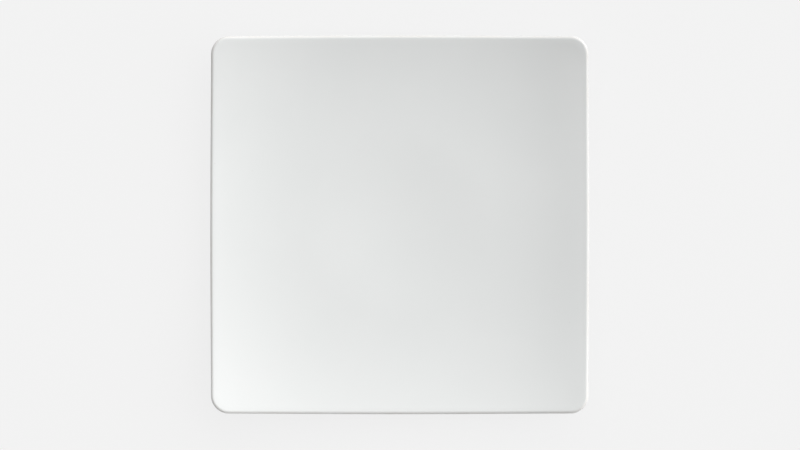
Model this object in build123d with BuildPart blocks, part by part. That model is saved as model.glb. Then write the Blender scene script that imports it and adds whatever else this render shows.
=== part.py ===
"""Square porcelain dinner plate: a fired body, and the two coats of glaze that its bare foot keeps apart.

The origin is on the table under the middle of the plate, +Z is up, and the sides face X and Y.
Sizes are in millimetres, and those of the plate's form are measured over the glaze.
"""

import os
from math import radians, tan

from build123d import *

# Outline, whose sides bow out a little between its round corners
side_length = 270.0
corner_radius = 13.0
side_bow = 1.2

# Dish: how deep it is at the middle of a side, how late its face rises, and how square its level lines
# are, where 2 makes circles of them. The face rises on past the middles of the sides, which lifts the
# corners.
dish_depth = 10.5
rise_power = 3.2
line_power = 2.9

# Wall: its upright thickness in the middle and at the lip, and how late it thins
floor_thickness = 4.8
lip_thickness = 3.2
thinning_power = 4.0

# The radius of the lip's two edges, for each millimetre of its thickness
lip_roundness = 0.4

# Foot ring, and the height of the base inside it
foot_width = 164.0
foot_bow = 8.0
foot_corner_radius = 32.0
foot_thickness = 5.0
foot_draft = 12.0
foot_root_radius = 1.6
foot_edge_radius = 0.8
base_height = 4.2

# The middle of the floor sinks in the kiln, because only the foot ring carries it
sag_depth = 2.0
sag_radius = 68.0

# Glaze, and the height of the band at the foot that is wiped clean of it
glaze_thickness = 0.3
bare_band_height = 1.3

# The blocks that shape the dish: how far they reach past the plate, as a share of its side, how many
# sections each is lofted through, and how many points draw a section's curve
block_margin = 0.06
section_count = 17
point_count = 17

# Places that follow from the sizes
lip_half = side_length / 2
foot_half = foot_width / 2
floor_level = base_height + floor_thickness
block_half = lip_half + side_length * block_margin
block_bottom = -side_length * block_margin


def bowed_square(level, half_width, bow, radius):
    """Draw a square with round corners, whose sides swell outwards by bow, as a sketch at that level."""
    corner = half_width - bow
    corners = [(corner, -corner), (corner, corner), (-corner, corner), (-corner, -corner)]
    with BuildSketch(Plane.XY.offset(level)) as outline:
        with BuildLine():
            for start, end in zip(corners, corners[1:] + corners[:1]):
                SagittaArc(start, end, -bow)
        make_face()
        fillet(outline.vertices(), radius)
    return outline.sketch


def reach(x, y):
    """Give how far out a place is, from 0 in the middle of the plate to 1 at the middle of a side."""
    return (abs(x) ** line_power + abs(y) ** line_power) ** (1 / line_power) / lip_half


def face_level(x, y):
    """Give the level of the dish's face at a place."""
    sunk_share = max(0, 1 - (x**2 + y**2) / sag_radius**2) ** 2
    return floor_level + dish_depth * reach(x, y) ** rise_power - sag_depth * sunk_share


def back_level(x, y):
    """Give the level of the dish's back at a place, which is under the face by the wall's thickness."""
    floor_share = max(0, 1 - reach(x, y) ** thinning_power) ** 2
    return face_level(x, y) - lip_thickness - (floor_thickness - lip_thickness) * floor_share


def places_across(count):
    """Give evenly spaced places from one side of a block to the other."""
    return [block_half * (2 * index / (count - 1) - 1) for index in range(count)]


def block_sections(surface_level, shift):
    """Draw the upright sections of a block whose top is a surface moved up by shift, as sketches."""
    sections = []
    for x in places_across(section_count):
        points = [(y, surface_level(x, y) + shift) for y in places_across(point_count)]
        with BuildSketch(Plane.YZ.offset(x)) as section:
            with BuildLine():
                top = Spline(points)
                Polyline(top @ 1, (block_half, block_bottom), (-block_half, block_bottom), top @ 0)
            make_face()
        sections.append(section.sketch)
    return sections


def foot_outline(level, inset):
    """Draw the drafted foot ring at that level, with both its sides moved inwards by inset, as a sketch."""
    growth = level * tan(radians(foot_draft)) - inset
    across = foot_thickness + 2 * growth
    outer_half = foot_half + growth
    outer_radius = foot_corner_radius + growth
    outer = bowed_square(level, outer_half, foot_bow, outer_radius)
    inner = bowed_square(level, outer_half - across, foot_bow, outer_radius - across)
    with BuildSketch(Plane.XY.offset(level)) as ring:
        add(outer)
        add(inner, mode=Mode.SUBTRACT)
    return ring.sketch


def foot_top():
    """Give a level in the wall, over its back at the foot ring's corners and under its face at its sides."""
    outline = bowed_square(0, foot_half, foot_bow, foot_corner_radius)
    corner = outline.edges().sort_by(SortBy.LENGTH)[0] @ 0.5
    return (back_level(corner.X, corner.Y) + face_level(foot_half - foot_thickness, 0)) / 2


def plate_form(inset):
    """Build the whole plate as one form, with its skin moved inwards by inset."""
    face_block = block_sections(face_level, -inset)
    back_block = block_sections(back_level, inset)
    foot_ring = [foot_outline(0, inset), foot_outline(foot_top(), inset)]
    with BuildPart() as form:
        add(bowed_square(0, lip_half - inset, side_bow, corner_radius - inset))
        extrude(amount=lip_half)
        loft(sections=face_block, mode=Mode.INTERSECT)
        loft(sections=back_block, mode=Mode.SUBTRACT)
        lip_edges = form.edges().filter_by(Axis.Z, reverse=True)
        fillet(lip_edges, lip_thickness * lip_roundness - inset)
        loft(sections=foot_ring, ruled=True)
        foot_root = form.edges(Select.NEW)
        fillet(foot_root, foot_root_radius + inset)
    return form.part


# The fired body, which stands on the ground edge of its foot ring
with BuildPart() as porcelain_body:
    add(plate_form(glaze_thickness))
    foot_edges = porcelain_body.faces().sort_by(Axis.Z)[0].edges()
    fillet(foot_edges, foot_edge_radius)

# The glaze is what the finished plate has over the body, down to the bare band of the foot
with BuildPart() as glaze:
    add(plate_form(0))
    split(bisect_by=Plane.XY.offset(bare_band_height), keep=Keep.TOP)
    add(porcelain_body.part, mode=Mode.SUBTRACT)
inside_ring, outside_ring = glaze.solids().sort_by(SortBy.VOLUME)

# The coat on the base, inside the foot ring
with BuildPart() as base_glaze:
    add(inside_ring)

# The coat over the face, round the lip and down the back to the outside of the foot ring
with BuildPart() as outer_glaze:
    add(outside_ring)

porcelain_body.part.label = "porcelain_body"
base_glaze.part.label = "base_glaze"
outer_glaze.part.label = "outer_glaze"

os.makedirs("parts", exist_ok=True)
export_step(porcelain_body.part, "parts/porcelain_body.step")
export_step(base_glaze.part, "parts/base_glaze.step")
export_step(outer_glaze.part, "parts/outer_glaze.step")
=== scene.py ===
"""Square porcelain dinner plate: a fired body and two coats of glaze round its CAD frame, on a pale floor.

Lengths are in metres. The origin is on the table under the middle of the plate, and +Z is up.
"""

from collections import namedtuple
from math import atan, atan2, cos, pi, radians, sin, sqrt, tan

import bmesh
import bpy
from bpy.props import FloatProperty, FloatVectorProperty, PointerProperty
from mathutils import Matrix, Vector, noise


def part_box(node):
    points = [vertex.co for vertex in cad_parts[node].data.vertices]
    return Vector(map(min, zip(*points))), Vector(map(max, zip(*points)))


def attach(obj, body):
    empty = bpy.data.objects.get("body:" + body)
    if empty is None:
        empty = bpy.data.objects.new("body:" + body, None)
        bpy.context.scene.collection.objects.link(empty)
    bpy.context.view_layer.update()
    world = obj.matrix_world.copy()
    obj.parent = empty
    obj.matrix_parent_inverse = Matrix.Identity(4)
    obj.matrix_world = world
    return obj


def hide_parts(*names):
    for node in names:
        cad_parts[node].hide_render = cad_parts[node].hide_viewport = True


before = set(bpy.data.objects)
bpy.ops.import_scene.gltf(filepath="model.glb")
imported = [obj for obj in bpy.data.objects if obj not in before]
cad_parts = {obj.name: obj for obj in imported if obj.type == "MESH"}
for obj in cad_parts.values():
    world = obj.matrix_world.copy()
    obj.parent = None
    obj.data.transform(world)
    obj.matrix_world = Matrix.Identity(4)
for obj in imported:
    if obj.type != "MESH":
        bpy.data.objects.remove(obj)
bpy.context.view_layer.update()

bl_info = {
    "name": "Square Dinner Plate",
    "version": (1, 0, 0),
    "blender": (4, 5, 0),
    "location": "3D View > Sidebar > Plate",
    "description": "Builds a glazed square dinner plate around its CAD frame, and the studio it stands in",
    "category": "Object",
}

BODY_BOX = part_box("porcelain_body")
OUTER_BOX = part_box("outer_glaze")
BASE_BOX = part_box("base_glaze")

# The middle of each skin is a square patch, and rings of vertices go on from its border.
# Half a side of a ring has these many steps along the side and round its half of the corner.
SIDE_STEPS = 20
CORNER_STEPS = 9
HALF_STEPS = SIDE_STEPS + CORNER_STEPS
FULL_STEPS = 2 * HALF_STEPS

# Rings along each stretch of the section
FACE_RINGS = 34
LIP_RINGS = 8
BACK_RINGS = 20
BASE_RINGS = 14
ROOT_RINGS = 6
FOOT_RINGS = 5

# The skin's edges that turn by more than this are those of the cut edge of the glaze.
CUT_EDGE_TURN = radians(50)

# Width of the photo, and of the plate in it, in pixels
PHOTO_WIDTH = 800
PLATE_PIXELS = 379.0

# Waves that the kiln has left in the lip: how many go round the plate, their height as a share of the warp,
# and the turn at which they start
KILN_WAVES = ((2, 1.0, 0.6), (3, 0.5, 2.1))

# How fast the wiped edge of the glaze strays up and down along the foot, and how high that goes on, in
# heights of the bare band
WAVER_SCALE = 45
WAVER_REACH = 2

# On the lip the glaze loses this share of its depth, along this part of a half wave, and gains this wear.
LIP_LOSS = 0.75
LIP_LOSS_WAVE = 0.7
LIP_WEAR = 0.4

# The glaze's depth, as a share of the usual one, grows by this in the root of the foot, and to this where
# the glaze stops.
ROOT_POOL = 0.8
STOP_DEPTH = 1.8


def length(name, description, default):
    """Give a property that holds a length."""
    return FloatProperty(name=name, description=description, default=default, min=0.0, precision=5,
                         unit="LENGTH")


def shift(name, description, default):
    """Give a property that holds a length one way or the other."""
    return FloatProperty(name=name, description=description, default=default, precision=5, unit="LENGTH")


def share(name, description, default):
    """Give a property that holds a share from 0 to 1."""
    return FloatProperty(name=name, description=description, default=default, min=0.0, max=1.0,
                         subtype="FACTOR")


def amount(name, description, default):
    """Give a property that holds a plain number."""
    return FloatProperty(name=name, description=description, default=default, min=0.0)


def angle(name, description, default):
    """Give a property that holds an angle, from its degrees."""
    return FloatProperty(name=name, description=description, default=radians(default), subtype="ANGLE")


def colour(name, description, default):
    """Give a property that holds a colour."""
    return FloatVectorProperty(name=name, description=description, default=default, size=3, min=0.0, max=1.0,
                               subtype="COLOR")


class PlateForm(bpy.types.PropertyGroup):
    """Sizes of the plate, measured over its glaze"""

    side: length("Side", "Width of the plate over its lip", OUTER_BOX[1].x - OUTER_BOX[0].x)
    corner_radius: length("Corner radius", "Radius of the plate's corners", 0.013)
    side_bow: length("Side bow", "How far the sides swell between their corners", 0.0012)
    dish_depth: length("Dish depth", "Rise of the face from its floor to the middle of a side", 0.0105)
    rise_power: amount("Rise power", "How late the face rises", 3.2)
    line_power: amount("Line power", "How square the face's level lines are, where 2 makes circles", 2.9)
    floor_thickness: length("Floor thickness", "Thickness of the wall in the middle", 0.0048)
    lip_thickness: length("Lip thickness", "Thickness of the wall at the lip", 0.0032)
    thinning_power: amount("Thinning power", "How late the wall thins", 4.0)
    lip_face_radius: length("Lip face radius", "Radius of the lip's edge on the face", 0.0019)
    lip_back_radius: length("Lip back radius", "Radius of the lip's edge on the back", 0.0009)
    foot_width: length("Foot width", "Width of the foot ring where it stands", 0.164)
    foot_bow: length("Foot bow", "How far the foot ring's sides swell between their corners", 0.008)
    foot_corner_radius: length("Foot corner radius", "Radius of the foot ring's corners", 0.032)
    foot_thickness: length("Foot thickness", "Thickness of the foot ring where it stands", 0.005)
    foot_draft: angle("Foot draft", "Slope of the foot ring's sides", 12.0)
    foot_root_radius: length("Foot root radius", "Radius between the foot ring and the back", 0.0016)
    foot_edge_radius: length("Foot edge radius", "Radius of the ground edges of the foot ring", 0.0008)
    base_height: length("Base height", "Height of the base over the table, before it sank", 0.0042)
    sag_depth: length("Sag depth", "How far the middle of the floor has sunk in the kiln", 0.0020)
    sag_radius: length("Sag radius", "Reach of the sunk middle", 0.068)
    glaze_depth: length("Glaze depth", "Thickness of the glaze", OUTER_BOX[1].x - BODY_BOX[1].x)
    bare_band: length("Bare band", "Height of the band at the foot that is wiped clean", BASE_BOX[0].z)
    glaze_bead: length("Glaze bead", "How far the glaze swells where it stops on the foot", 0.00012)
    glaze_edge_radius: length("Glaze edge radius", "Radius of the edge where the glaze stops", 0.0001)
    wipe_waver: length("Wipe waver", "How far the wiped edge of the glaze strays up and down", 0.00022)
    kiln_warp: length("Kiln warp", "How far the lip has moved up and down in the kiln", 0.00025)


class PlateFinish(bpy.types.PropertyGroup):
    """Colours and finish of the glaze and of the bare porcelain"""

    glaze_white: colour("Glaze white", "Colour of the glazed face", (0.845, 0.858, 0.851))
    glaze_cloud: colour("Glaze cloud", "Colour of the faint clouds in the glaze", (0.815, 0.832, 0.826))
    glaze_pool: colour("Glaze pool", "Colour where the glaze has run together", (0.780, 0.810, 0.808))
    lip_thin: colour("Thin lip", "Colour of the lip, where the glaze has run thin", (0.830, 0.820, 0.795))
    speck: colour("Speck", "Colour of the few specks in the glaze", (0.42, 0.38, 0.33))
    cloud_strength: share("Cloud strength", "How much of their own colour the clouds have", 0.4)
    speck_strength: share("Speck strength", "How much of their own colour the specks have", 0.55)
    speck_rarity: share("Speck rarity", "How much of the glaze could hold a speck and doesn't", 0.985)
    glaze_roughness: share("Glaze roughness", "Roughness of clean glaze", 0.16)
    worn_roughness: share("Worn roughness", "Roughness of the glaze where use has rubbed it most", 0.21)
    glaze_ior: amount("Glaze IOR", "How strongly the glaze bends light", 1.52)
    porcelain: colour("Bare porcelain", "Colour of the bare foot", (0.790, 0.765, 0.715))
    porcelain_stain: colour("Foot stain", "Colour of the grime in the bare foot", (0.560, 0.525, 0.470))
    porcelain_roughness: share("Porcelain roughness", "Roughness of the bare foot", 0.8)
    ground_roughness: share("Ground roughness", "Roughness of the bare foot where it is ground", 0.6)


class PlateStudio(bpy.types.PropertyGroup):
    """Camera, lights and floor"""

    camera_height: length("Camera height", "Height of the camera over the table", 2.4)
    camera_right: shift("Camera right", "How far the camera stands to the right of the plate", 0.0002)
    camera_up: shift("Camera up", "How far the camera stands towards the picture's top", -0.00014)
    floor_width: length("Floor width", "Width of the floor", 12.0)
    floor_tone: colour("Floor tone", "Colour of the floor", (0.62, 0.62, 0.62))
    floor_patch: share("Floor patch", "Tone of the floor's faint patches, as a share of its own", 0.985)
    floor_glow: share("Floor glow", "Tone that is laid over the floor where it is seen", 0.954)
    floor_glow_share: share("Floor glow share", "How much of that tone is laid over the floor", 0.85)
    sky_tone: amount("Sky tone", "Tone of the soft light half way across the sky", 0.525)
    sky_slope: amount("Sky slope", "How fast that light changes towards both sides", 2.4)
    sky_low: amount("Sky low", "The darkest tone of that light", 0.2)
    sky_high: amount("Sky high", "The brightest tone of that light", 2.2)
    sky_turn: angle("Sky turn", "Where its bright side is, from the picture's right towards its top", 39.0)
    backdrop: share("Backdrop", "Tone that is seen behind the floor, also in the glaze", 0.888)
    panel_power: FloatProperty(name="Panel power", default=0.75, min=0.0, unit="POWER",
                               description="Power of the small panel that the right rim mirrors")
    panel_distance: length("Panel distance", "How far the panel is from the middle of the plate", 1.5)
    panel_tilt: angle("Panel tilt", "How far the panel is from overhead", 22.0)
    panel_turn: angle("Panel turn", "Where the panel is, from the picture's right towards its top", 187.0)
    panel_width: length("Panel width", "Width of the panel, towards the plate's sides", 0.27)
    panel_length: length("Panel length", "Length of the panel", 0.75)


# One ring of a skin. Its outline is a square with bowed sides and round corners. Its height is a share of
# the level of the dish's face, or of its back, and a level of its own. It also holds the glaze's depth, as
# a share of the usual one, and the wear that the glaze has there.
Ring = namedtuple("Ring", "half bow radius back share level depth wear", defaults=(0.0, 1.0, 0.0, 1.0, 0.0))

FACE_PATCH = Ring(half=0.040, bow=0.004, radius=0.020, wear=1.0)
BASE_PATCH = Ring(half=0.040, bow=0.004, radius=0.020, back=1.0)


def spread(low, high, count):
    """Give count numbers from low to high, without low itself."""
    return [low + (high - low) * (index + 1) / count for index in range(count)]


def between(first, last, count):
    """Give count rings from first to last, without first itself."""
    rings = []
    for place in spread(0, 1, count):
        rings.append(Ring(*(low + (high - low) * place for low, high in zip(first, last))))
    return rings


def arc_turns(start, end, count):
    """Give the turns of the rings along an arc, from start to end."""
    return [start, *spread(start, end, count)]


def dish_level(x, y, form, back):
    """Give the level of the dish at a place: of its face where back is 0, and of its back where it is 1."""
    power = form.line_power
    reach = (abs(x) ** power + abs(y) ** power) ** (1 / power) / (form.side / 2)
    sunk_share = max(0, 1 - (x**2 + y**2) / form.sag_radius**2) ** 2
    floor_share = max(0, 1 - reach**form.thinning_power) ** 2
    turn = atan2(y, x)
    warp = sum(height * sin(count * turn + start) for count, height, start in KILN_WAVES)
    level = form.base_height + form.floor_thickness
    level += form.dish_depth * reach**form.rise_power - form.sag_depth * sunk_share
    level += form.kiln_warp * reach**2 * warp
    return level - back * (form.lip_thickness + (form.floor_thickness - form.lip_thickness) * floor_share)


def lip_ring(form, inset, **settings):
    """Give a ring that follows the outline of the lip, moved inwards by inset."""
    return Ring(form.side / 2 - inset, form.side_bow, form.corner_radius - inset, **settings)


def lip_rings(form):
    """Give the rings round the lip, from the face to the back."""
    slope = atan(form.dish_depth * form.rise_power / (form.side / 2))
    rings = []
    for turn in arc_turns(-slope, pi / 2, LIP_RINGS):
        crest = (turn + slope) / (pi / 2 + slope)
        inset = form.lip_face_radius * (1 - sin(turn))
        drop = form.lip_face_radius * (1 - cos(turn + slope)) / cos(slope)
        depth = 1 - LIP_LOSS * sin(pi * crest * LIP_LOSS_WAVE)
        rings.append(lip_ring(form, inset, level=-drop, depth=depth, wear=LIP_WEAR * crest))
    for turn in arc_turns(pi / 2, slope, LIP_RINGS):
        inset = form.lip_back_radius * (1 - sin(turn))
        rise = form.lip_back_radius * (1 - cos(turn - slope)) / cos(slope)
        rings.append(lip_ring(form, inset, back=1.0, level=rise))
    return rings


def foot_ring(half, form, **settings):
    """Give a ring that follows the outline of the foot."""
    radius = form.foot_corner_radius + half - form.foot_width / 2
    return Ring(half, form.foot_bow, radius, back=1.0, **settings)


def foot_side_rings(form, side):
    """Give the rings from the back round the root of the foot and down its side: 1 outside, -1 inside."""
    slope = tan(form.foot_draft)
    root = form.foot_root_radius
    edge_half = form.foot_width / 2 - (0 if side > 0 else form.foot_thickness)
    root_level = dish_level(edge_half, 0, form, 1) - root
    root_half = edge_half + side * (root_level * slope + root / cos(form.foot_draft))
    rings = []
    for index, turn in enumerate(arc_turns(pi / 2, pi - form.foot_draft, ROOT_RINGS)):
        half = root_half + side * root * cos(turn)
        pool = 1 + ROOT_POOL * sin(pi * index / (ROOT_RINGS + 1))
        rings.append(foot_ring(half, form, level=root * (sin(turn) - 1), depth=pool))
    stop = form.bare_band + form.glaze_depth / 2
    swell = 2 * stop
    straight = foot_ring(edge_half + side * swell * slope, form, share=0.0, level=swell)
    stop_half = edge_half + side * (stop * slope + form.glaze_bead)
    swollen = foot_ring(stop_half, form, share=0.0, level=stop, depth=STOP_DEPTH)
    return rings + between(rings[-1], straight, FOOT_RINGS) + between(straight, swollen, FOOT_RINGS)


def turned(x, y, side):
    """Turn a point on the plate's +X side to one of its four sides."""
    for _ in range(side):
        x, y = -y, x
    return x, y


def ring_point(ring, around):
    """Give the place of a ring's vertex, which is counted around the ring from the middle of its +X side."""
    side = int((around + HALF_STEPS) // FULL_STEPS) % 4
    step = (around + HALF_STEPS) % FULL_STEPS - HALF_STEPS
    corner = ring.half - ring.bow
    bow_radius = (corner**2 + ring.bow**2) / (2 * ring.bow)
    bow_centre = ring.half - bow_radius
    reach = bow_radius - ring.radius
    corner_centre = (bow_centre + sqrt(2 * reach**2 - bow_centre**2)) / 2
    side_turn = atan2(corner_centre, corner_centre - bow_centre)
    steps = abs(step)
    if steps <= SIDE_STEPS:
        turn = side_turn * steps / SIDE_STEPS
        x = bow_centre + bow_radius * cos(turn)
        y = bow_radius * sin(turn)
    else:
        turn = side_turn + (pi / 4 - side_turn) * (steps - SIDE_STEPS) / CORNER_STEPS
        x = corner_centre + ring.radius * cos(turn)
        y = corner_centre + ring.radius * sin(turn)
    return turned(x, y if step >= 0 else -y, side)


def place_vertex(vert, x, y, ring, form):
    """Put a vertex of a ring at its height over that place, where a wiped edge of the glaze also strays."""
    level = ring.share * dish_level(x, y, form, ring.back) + ring.level
    if form.bare_band < level < WAVER_REACH * form.bare_band:
        waver = noise.noise(Vector((x, y, 0)) * WAVER_SCALE)
        level += form.wipe_waver * (WAVER_REACH - level / form.bare_band) * waver
    vert.co = (x, y, level)


def border_step(step_x, step_y):
    """Give the count around a square border, from the middle of its +X side to a place so many steps out."""
    steps = max(abs(step_x), abs(step_y))
    if step_x == steps:
        return step_y
    if step_y == steps:
        return 2 * steps - step_x
    if step_x == -steps:
        return 4 * steps - step_y
    return 6 * steps + step_x


def patch_point(step_x, step_y, patch):
    """Give the place of a patch's vertex, on a smaller copy of the patch's border."""
    steps = max(abs(step_x), abs(step_y))
    if steps == 0:
        return 0.0, 0.0
    scale = steps / HALF_STEPS
    inner = patch._replace(half=patch.half * scale, bow=patch.bow * scale, radius=patch.radius * scale)
    return ring_point(inner, border_step(step_x, step_y) / scale)


class SkinMaker:
    """Grows a skin of the plate from a patch in its middle, ring by ring"""

    def __init__(self, form):
        self.form = form
        self.bm = bmesh.new()
        self.around = self.bm.verts.layers.int.new("around")
        self.depth = self.bm.verts.layers.float.new("glaze_depth")
        self.wear = self.bm.verts.layers.float.new("wear")

    def add_patch(self, ring):
        """Add a square patch, whose border takes a ring's count, and give its border."""
        grid = bmesh.ops.create_grid(self.bm, x_segments=FULL_STEPS, y_segments=FULL_STEPS, size=HALF_STEPS)
        made = grid["verts"]
        for vert in made:
            step_x = round(vert.co.x)
            step_y = round(vert.co.y)
            vert[self.around] = border_step(step_x, step_y)
            self.set_vertex(vert, *patch_point(step_x, step_y, ring), ring)
        edges = {edge for vert in made for edge in vert.link_edges}
        return [edge for edge in edges if edge.is_boundary]

    def set_vertex(self, vert, x, y, ring):
        """Put a vertex in its place, with the glaze's depth and wear there."""
        place_vertex(vert, x, y, ring, self.form)
        vert[self.depth] = ring.depth
        vert[self.wear] = ring.wear

    def grow(self, patch, rings):
        """Add a patch and the rings round it, and give the open border."""
        border = self.add_patch(patch)
        for ring in rings:
            made = bmesh.ops.extrude_edge_only(self.bm, edges=border)["geom"]
            for vert in (item for item in made if isinstance(item, bmesh.types.BMVert)):
                self.set_vertex(vert, *ring_point(ring, vert[self.around]), ring)
            border = [item for item in made if isinstance(item, bmesh.types.BMEdge) and item.is_boundary]
        return border

    def close(self, border, patch):
        """Close the open border with a patch."""
        patch_border = self.add_patch(patch)
        bmesh.ops.bridge_loops(self.bm, edges=border + patch_border)

    def face_out(self, outer_z):
        """Turn all faces one way, so that the first patch faces up where outer_z is 1, and down at -1."""
        bmesh.ops.recalc_face_normals(self.bm, faces=self.bm.faces)
        self.bm.faces.ensure_lookup_table()
        if self.bm.faces[0].normal.z * outer_z < 0:
            bmesh.ops.reverse_faces(self.bm, faces=self.bm.faces)
        self.bm.normal_update()

    def thicken(self):
        """Give the skin the thickness of the glaze, and round the edges where it stops."""
        bmesh.ops.solidify(self.bm, geom=self.bm.faces[:], thickness=self.form.glaze_depth)
        self.bm.normal_update()
        cut_edges = [edge for edge in self.bm.edges if edge.calc_face_angle(0.0) > CUT_EDGE_TURN]
        bmesh.ops.bevel(self.bm, geom=cut_edges, offset=self.form.glaze_edge_radius, offset_type="OFFSET",
                        segments=3, profile=0.5, affect="EDGES", material=-1)

    def take_coat_off(self):
        """Move the skin in by the thickness of the glaze, wherever that covers it."""
        covered = [(vert, vert.normal.copy()) for vert in self.bm.verts if vert.co.z > self.form.bare_band]
        for vert, normal in covered:
            vert.co -= normal * self.form.glaze_depth

    def finish(self, name):
        """Make an object of the skin, which has to be closed."""
        for face in self.bm.faces:
            face.smooth = True
        if any(not edge.is_manifold for edge in self.bm.edges):
            raise RuntimeError(f"{name} isn't closed")
        self.bm.verts.layers.int.remove(self.around)
        mesh = bpy.data.meshes.new(name)
        self.bm.to_mesh(mesh)
        self.bm.free()
        piece = bpy.data.objects.new(name, mesh)
        bpy.context.scene.collection.objects.link(piece)
        return piece


def outer_rings(form):
    """Give the rings of the outer coat: along the face, round the lip, along the back and down the foot."""
    lip = lip_rings(form)
    foot = foot_side_rings(form, 1)
    face = between(FACE_PATCH, lip[0], FACE_RINGS)
    back = between(lip[-1], foot[0], BACK_RINGS)
    return face + lip[1:] + back + foot[1:]


def base_rings(form):
    """Give the rings of the coat on the base: outwards from the middle, and down the inside of the foot."""
    foot = foot_side_rings(form, -1)
    return between(BASE_PATCH, foot[0], BASE_RINGS) + foot[1:]


def ground_rings(form):
    """Give the rings of the bare porcelain round the ground edge of the foot, from the outside inwards."""
    lean = form.foot_draft
    edge = form.foot_edge_radius
    wall = (form.glaze_depth + edge) / cos(lean) - edge * tan(lean)
    outside = form.foot_width / 2
    inside = outside - form.foot_thickness
    rings = []
    for side, centre in ((1, outside - wall), (-1, inside + wall)):
        arc = []
        for turn in arc_turns(-lean, -pi / 2, ROOT_RINGS):
            half = centre + side * edge * cos(turn)
            arc.append(foot_ring(half, form, share=0.0, level=edge * (1 + sin(turn))))
        rings += arc[::side]
    return rings


class NodeMaker:
    """Adds nodes to a tree and links them"""

    def __init__(self, tree):
        self.tree = tree

    def put(self, socket, value):
        """Link a socket to another, or set its value."""
        if isinstance(value, bpy.types.NodeSocket):
            self.tree.links.new(value, socket)
        else:
            socket.default_value = value

    def add(self, kind, inputs=None, **settings):
        """Add a node, with its settings and its inputs by name or number."""
        made = self.tree.nodes.new(kind)
        for key, value in settings.items():
            setattr(made, key, value)
        for key, value in (inputs or {}).items():
            self.put(made.inputs[key], value)
        return made

    def math(self, operation, first, second=0.0, third=0.0):
        """Add a calculation with up to three values."""
        made = self.add("ShaderNodeMath", {0: first, 1: second, 2: third}, operation=operation)
        return made.outputs["Value"]

    def seen_ray(self):
        """Give 1 for what is seen, straight or in gloss or glass, and 0 for what only lights."""
        rays = self.add("ShaderNodeLightPath").outputs
        seen = self.math("MAXIMUM", rays["Is Camera Ray"], rays["Is Glossy Ray"])
        return self.math("MAXIMUM", seen, rays["Is Transmission Ray"])

    def dot(self, first, second):
        """Add the dot product of two directions."""
        made = self.add("ShaderNodeVectorMath", {0: first, 1: second}, operation="DOT_PRODUCT")
        return made.outputs["Value"]

    def ramp(self, value, low, high, start=0.0, end=1.0):
        """Spread the values from low to high smoothly over start to end."""
        inputs = {"Value": value, "From Min": low, "From Max": high, "To Min": start, "To Max": end}
        return self.add("ShaderNodeMapRange", inputs, interpolation_type="SMOOTHSTEP").outputs["Result"]


class MaterialMaker(NodeMaker):
    """Makes a new material and adds its nodes"""

    def __init__(self, name):
        self.material = bpy.data.materials.new(name)
        self.material.use_nodes = True
        super().__init__(self.material.node_tree)
        self.shader = self.tree.nodes["Principled BSDF"]
        self.places = self.add("ShaderNodeTexCoord").outputs["Object"]

    def noise(self, scale, detail=2.0, roughness=0.5, places=None):
        """Add a noise pattern and give its grey output."""
        inputs = {"Vector": places or self.places, "Scale": scale, "Detail": detail, "Roughness": roughness}
        return self.add("ShaderNodeTexNoise", inputs).outputs["Fac"]

    def mix(self, factor, first, second):
        """Mix two colours."""
        inputs = {"Factor": factor}
        for key, tone in (("A", first), ("B", second)):
            inputs[key] = tone if isinstance(tone, bpy.types.NodeSocket) else (*tone, 1.0)
        return self.add("ShaderNodeMix", inputs, data_type="RGBA").outputs["Result"]

    def attribute(self, name):
        """Read a value that the piece's vertices hold."""
        return self.add("ShaderNodeAttribute", attribute_name=name).outputs["Fac"]

    def bump(self, height, strength, distance, normal=None):
        """Add a bump of that height in metres."""
        inputs = {"Height": height, "Strength": strength, "Distance": distance}
        if normal is not None:
            inputs["Normal"] = normal
        return self.add("ShaderNodeBump", inputs).outputs["Normal"]


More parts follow.
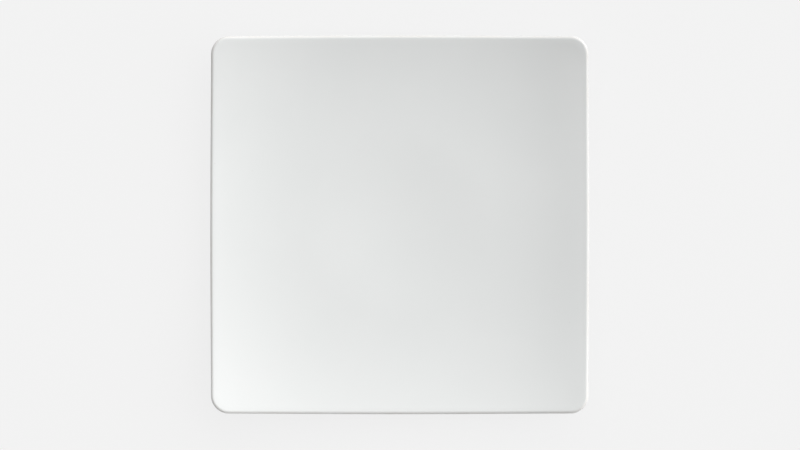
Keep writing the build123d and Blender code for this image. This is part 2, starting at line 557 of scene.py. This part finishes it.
def glaze_material(finish):
    """Make the clear gloss glaze: faint clouds, pools and thin lips, a few specks and a rubbed face."""
    maker = MaterialMaker("white_gloss_glaze")
    depth = maker.attribute("glaze_depth")
    wear = maker.attribute("wear")
    clouds = maker.ramp(maker.noise(scale=11.0, detail=3.0, roughness=0.55), low=0.38, high=0.66)
    drift = maker.noise(scale=38.0)

    thin_drift = maker.ramp(drift, low=0.3, high=0.62, start=0.35, end=1.0)
    pool_drift = maker.ramp(drift, low=0.3, high=0.7, start=0.4, end=0.9)
    thin = maker.math("MULTIPLY", maker.ramp(depth, low=0.92, high=0.3), thin_drift)
    pool = maker.math("MULTIPLY", maker.ramp(depth, low=1.02, high=1.8), pool_drift)
    cloud = maker.math("MULTIPLY", clouds, finish.cloud_strength)
    tone = maker.mix(cloud, finish.glaze_white, finish.glaze_cloud)
    tone = maker.mix(pool, tone, finish.glaze_pool)
    tone = maker.mix(thin, tone, finish.lip_thin)

    cells = maker.add("ShaderNodeTexVoronoi", {"Vector": maker.places, "Scale": 190.0, "Randomness": 1.0})
    chance = maker.add("ShaderNodeSeparateColor", {"Color": cells.outputs["Color"]}).outputs["Red"]
    chosen = maker.math("GREATER_THAN", chance, finish.speck_rarity)
    specks = maker.math("MULTIPLY", maker.ramp(cells.outputs["Distance"], low=0.055, high=0.025), chosen)
    tone = maker.mix(maker.math("MULTIPLY", specks, finish.speck_strength), tone, finish.speck)
    maker.put(maker.shader.inputs["Base Color"], tone)

    rub = maker.ramp(maker.noise(scale=24.0, detail=3.0, roughness=0.6), low=0.4, high=0.7)
    rub = maker.math("MULTIPLY", rub, wear)
    rough = maker.ramp(rub, low=0.0, high=1.0, start=finish.glaze_roughness, end=finish.worn_roughness)
    maker.put(maker.shader.inputs["Roughness"], rough)

    ripple = maker.noise(scale=75.0, detail=1.5, roughness=0.45)
    peel = maker.noise(scale=420.0, detail=1.0, roughness=0.4)
    pits = maker.math("SUBTRACT", 1.0, specks)
    normal = maker.bump(ripple, strength=0.25, distance=0.00022)
    normal = maker.bump(peel, strength=0.18, distance=0.00004, normal=normal)
    normal = maker.bump(pits, strength=0.5, distance=0.00006, normal=normal)
    maker.put(maker.shader.inputs["Normal"], normal)
    maker.put(maker.shader.inputs["IOR"], finish.glaze_ior)
    return maker.material


def porcelain_material(finish):
    """Make the bare fired porcelain: matte, a little mottled, ground and stained where the foot stands."""
    maker = MaterialMaker("bare_ground_porcelain")
    level = maker.add("ShaderNodeSeparateXYZ", {"Vector": maker.places}).outputs["Z"]
    mottle = maker.ramp(maker.noise(scale=240.0, detail=4.0, roughness=0.6), low=0.35, high=0.68, end=0.12)
    blotch = maker.ramp(maker.noise(scale=28.0, detail=3.0, roughness=0.6), low=0.42, high=0.66)
    stood_on = maker.ramp(level, low=0.0010, high=0.0001, start=0.12, end=0.6)
    tone = maker.mix(mottle, finish.porcelain, finish.porcelain_stain)
    tone = maker.mix(maker.math("MULTIPLY", blotch, stood_on), tone, finish.porcelain_stain)
    maker.put(maker.shader.inputs["Base Color"], tone)

    turn_and_stretch = {"Vector": maker.places, "Rotation": (0.0, 0.0, 0.7), "Scale": (1.0, 0.06, 1.0)}
    stretched = maker.add("ShaderNodeMapping", turn_and_stretch).outputs["Vector"]
    grind = maker.noise(scale=1900.0, detail=2.0, roughness=0.6, places=stretched)
    rough = maker.ramp(grind, low=0.3, high=0.7, start=finish.ground_roughness,
                       end=finish.porcelain_roughness)
    maker.put(maker.shader.inputs["Roughness"], rough)

    grain = maker.noise(scale=1500.0, detail=3.0, roughness=0.6)
    normal = maker.bump(grain, strength=0.35, distance=0.00003)
    normal = maker.bump(grind, strength=0.3, distance=0.00003, normal=normal)
    maker.put(maker.shader.inputs["Normal"], normal)
    return maker.material


def floor_material(studio):
    """Make the pale floor, with part of its tone laid on where it is seen, which keeps its shadow faint."""
    maker = MaterialMaker("pale_studio_floor")
    maker.tree.nodes.remove(maker.shader)
    patch = maker.ramp(maker.noise(scale=1.5), low=0.3, high=0.7)
    tone = maker.mix(patch, studio.floor_tone, [value * studio.floor_patch for value in studio.floor_tone])
    matte = maker.add("ShaderNodeBsdfDiffuse", {"Color": tone})
    glow = maker.add("ShaderNodeEmission", {"Color": (1.0, 1.0, 1.0, 1.0), "Strength": studio.floor_glow})
    seen = maker.math("MULTIPLY", maker.seen_ray(), studio.floor_glow_share)
    both = maker.add("ShaderNodeMixShader", {0: seen, 1: matte.outputs["BSDF"], 2: glow.outputs["Emission"]})
    maker.put(maker.tree.nodes["Material Output"].inputs["Surface"], both.outputs["Shader"])
    return maker.material


def soft_sky(studio):
    """Make the world: one soft light all round, which fades from its bright side, and a plain backdrop."""
    world = bpy.data.worlds.new("soft_sky")
    world.use_nodes = True
    maker = NodeMaker(world.node_tree)
    heading = maker.add("ShaderNodeTexCoord").outputs["Generated"]
    side = maker.dot(heading, (cos(studio.sky_turn), sin(studio.sky_turn), 0.0))
    tone = maker.math("MULTIPLY_ADD", side, studio.sky_slope, studio.sky_tone)
    tone = maker.math("MINIMUM", maker.math("MAXIMUM", tone, studio.sky_low), studio.sky_high)
    inputs = {"Factor": maker.seen_ray(), "A": tone, "B": studio.backdrop}
    tone = maker.add("ShaderNodeMix", inputs).outputs["Result"]
    background = world.node_tree.nodes["Background"]
    maker.put(background.inputs["Color"], (1.0, 1.0, 1.0, 1.0))
    maker.put(background.inputs["Strength"], tone)
    return world


def studio_floor(studio):
    """Make the floor that the plate stands on."""
    bm = bmesh.new()
    bmesh.ops.create_grid(bm, x_segments=1, y_segments=1, size=studio.floor_width / 2)
    mesh = bpy.data.meshes.new("studio_floor")
    bm.to_mesh(mesh)
    bm.free()
    mesh.materials.append(floor_material(studio))
    return bpy.data.objects.new("studio_floor", mesh)


def soft_panel(studio):
    """Make the small light that shines down on the plate from one side."""
    light = bpy.data.lights.new("soft_panel", "AREA")
    light.shape = "RECTANGLE"
    light.size = studio.panel_width
    light.size_y = studio.panel_length
    light.energy = studio.panel_power
    panel = bpy.data.objects.new("soft_panel", light)
    aim = Matrix.Rotation(studio.panel_turn, 4, "Z") @ Matrix.Rotation(studio.panel_tilt, 4, "Y")
    panel.matrix_world = aim @ Matrix.Translation((0.0, 0.0, studio.panel_distance))
    return panel


def photo_camera(studio, form):
    """Make the camera, which looks straight down and shows the plate as wide as the photo does."""
    camera = bpy.data.objects.new("photo_camera", bpy.data.cameras.new("photo_camera"))
    camera.location = (studio.camera_right, studio.camera_up, studio.camera_height)
    away = studio.camera_height - dish_level(form.side / 2, 0, form, 0.5)
    camera.data.lens = camera.data.sensor_width * away * PLATE_PIXELS / (PHOTO_WIDTH * form.side)
    return camera


def dress(piece, material, node):
    """Give a piece its material, and its place in the frame."""
    piece.data.materials.append(material)
    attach(piece, "root")
    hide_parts(node)


class PLATE_OT_porcelain_body(bpy.types.Operator):
    """Build the fired body, which shows on the bare edge of its foot ring"""

    bl_idname = "plate.porcelain_body"
    bl_label = "Porcelain Body"

    def execute(self, context):
        form = context.scene.plate_form
        skin = SkinMaker(form)
        border = skin.grow(FACE_PATCH, outer_rings(form) + ground_rings(form) + base_rings(form)[::-1])
        skin.close(border, BASE_PATCH)
        skin.face_out(1)
        skin.take_coat_off()
        piece = skin.finish("plate_body")
        dress(piece, porcelain_material(context.scene.plate_finish), "porcelain_body")
        return {"FINISHED"}


class PLATE_OT_outer_glaze(bpy.types.Operator):
    """Build the coat of glaze over the face, round the lip and down the back to the outside of the foot"""

    bl_idname = "plate.outer_glaze"
    bl_label = "Outer Glaze"

    def execute(self, context):
        form = context.scene.plate_form
        skin = SkinMaker(form)
        skin.grow(FACE_PATCH, outer_rings(form))
        skin.face_out(1)
        skin.thicken()
        piece = skin.finish("plate_outer_glaze")
        dress(piece, glaze_material(context.scene.plate_finish), "outer_glaze")
        return {"FINISHED"}


class PLATE_OT_base_glaze(bpy.types.Operator):
    """Build the coat of glaze on the base, inside the foot ring"""

    bl_idname = "plate.base_glaze"
    bl_label = "Base Glaze"

    def execute(self, context):
        form = context.scene.plate_form
        skin = SkinMaker(form)
        skin.grow(BASE_PATCH, base_rings(form))
        skin.face_out(-1)
        skin.thicken()
        piece = skin.finish("plate_base_glaze")
        material = bpy.data.materials.get("white_gloss_glaze") or glaze_material(context.scene.plate_finish)
        dress(piece, material, "base_glaze")
        return {"FINISHED"}


class PLATE_OT_studio(bpy.types.Operator):
    """Build the floor, the lights and the camera"""

    bl_idname = "plate.studio"
    bl_label = "Studio"

    def execute(self, context):
        scene = context.scene
        studio = scene.plate_studio
        scene.view_settings.view_transform = "Standard"
        floor = studio_floor(studio)
        scene.collection.objects.link(floor)
        scene.world = soft_sky(studio)
        scene.collection.objects.link(soft_panel(studio))
        scene.camera = photo_camera(studio, scene.plate_form)
        scene.collection.objects.link(scene.camera)
        return {"FINISHED"}


class PLATE_PT_sidebar(bpy.types.Panel):
    """Panel with the plate's sizes, finish and studio, and the operators that build them"""

    bl_idname = "PLATE_PT_sidebar"
    bl_label = "Square Dinner Plate"
    bl_space_type = "VIEW_3D"
    bl_region_type = "UI"
    bl_category = "Plate"

    def draw(self, context):
        for settings in (context.scene.plate_form, context.scene.plate_finish, context.scene.plate_studio):
            box = self.layout.box()
            for name in settings.__annotations__:
                box.prop(settings, name)
        for operator in OPERATORS:
            self.layout.operator(operator.bl_idname)


OPERATORS = (PLATE_OT_porcelain_body, PLATE_OT_outer_glaze, PLATE_OT_base_glaze, PLATE_OT_studio)
CLASSES = (PlateForm, PlateFinish, PlateStudio, *OPERATORS, PLATE_PT_sidebar)


def register():
    """Register the classes and the settings that the scene holds."""
    for item in CLASSES:
        bpy.utils.register_class(item)
    bpy.types.Scene.plate_form = PointerProperty(type=PlateForm)
    bpy.types.Scene.plate_finish = PointerProperty(type=PlateFinish)
    bpy.types.Scene.plate_studio = PointerProperty(type=PlateStudio)


def unregister():
    """Take the settings and the classes away again."""
    del bpy.types.Scene.plate_studio
    del bpy.types.Scene.plate_finish
    del bpy.types.Scene.plate_form
    for item in reversed(CLASSES):
        bpy.utils.unregister_class(item)


def main():
    register()
    bpy.ops.plate.porcelain_body()
    bpy.ops.plate.outer_glaze()
    bpy.ops.plate.base_glaze()
    bpy.ops.plate.studio()


if __name__ == "__main__":
    main()
